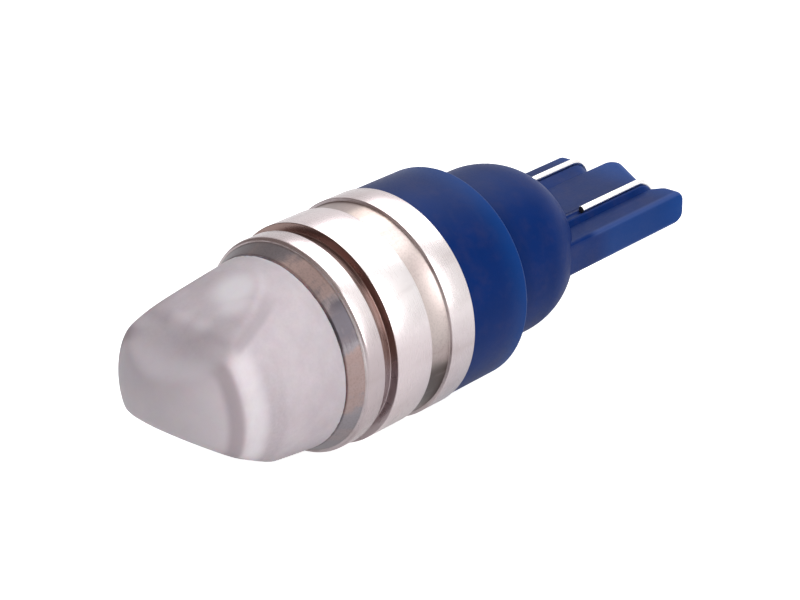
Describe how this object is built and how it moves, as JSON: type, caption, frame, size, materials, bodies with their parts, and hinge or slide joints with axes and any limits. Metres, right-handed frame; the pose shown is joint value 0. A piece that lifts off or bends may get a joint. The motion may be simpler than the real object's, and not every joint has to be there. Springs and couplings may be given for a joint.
{
  "type": "led car bulb",
  "caption": "Wedge base LED bulb for a car lamp, with a frosted chisel-nosed lens, a plated metal sleeve and a blue plastic base.",
  "frame": {"origin": "on the bulb's axis, in the plane where the sleeve meets the base", "axes": "+Y along the bulb's axis towards the wedge blade, +Z normal to the blade's broad face, +X across the blade's width"},
  "size_m": [0.0132, 0.0416, 0.0132],
  "materials": {
    "blue_plastic": "satin",
    "tinned_copper": "bright",
    "plated_metal": "polished",
    "frosted_plastic": "frosted",
    "white_board": "satin",
    "led_housing": "satin",
    "phosphor": "satin",
    "green_board": "satin",
    "chip_black": "matte",
    "ceramic_tan": "matte",
    "gilded_pin": "bright",
    "solder": "satin"
  },
  "bodies": {
    "root": {"base": "blue_plastic", "contact_wire_right": "tinned_copper", "contact_wire_left": "tinned_copper", "sleeve": "plated_metal", "lens": "frosted_plastic", "led_board": "white_board", "led_package_1": "led_housing", "led_package_2": "led_housing", "led_package_3": "led_housing", "led_phosphor_1": "phosphor", "led_phosphor_2": "phosphor", "led_phosphor_3": "phosphor", "driver_board": "green_board", "rectifier": "chip_black", "driver_chip": "chip_black", "capacitor": "ceramic_tan", "resistor_1": "chip_black", "resistor_2": "chip_black", "link_pin_right": "gilded_pin", "link_pin_left": "gilded_pin", "contact_solder_right": "solder", "contact_solder_left": "solder", "link_solder_right": "solder", "link_solder_left": "solder"}
  },
  "joints": []
}
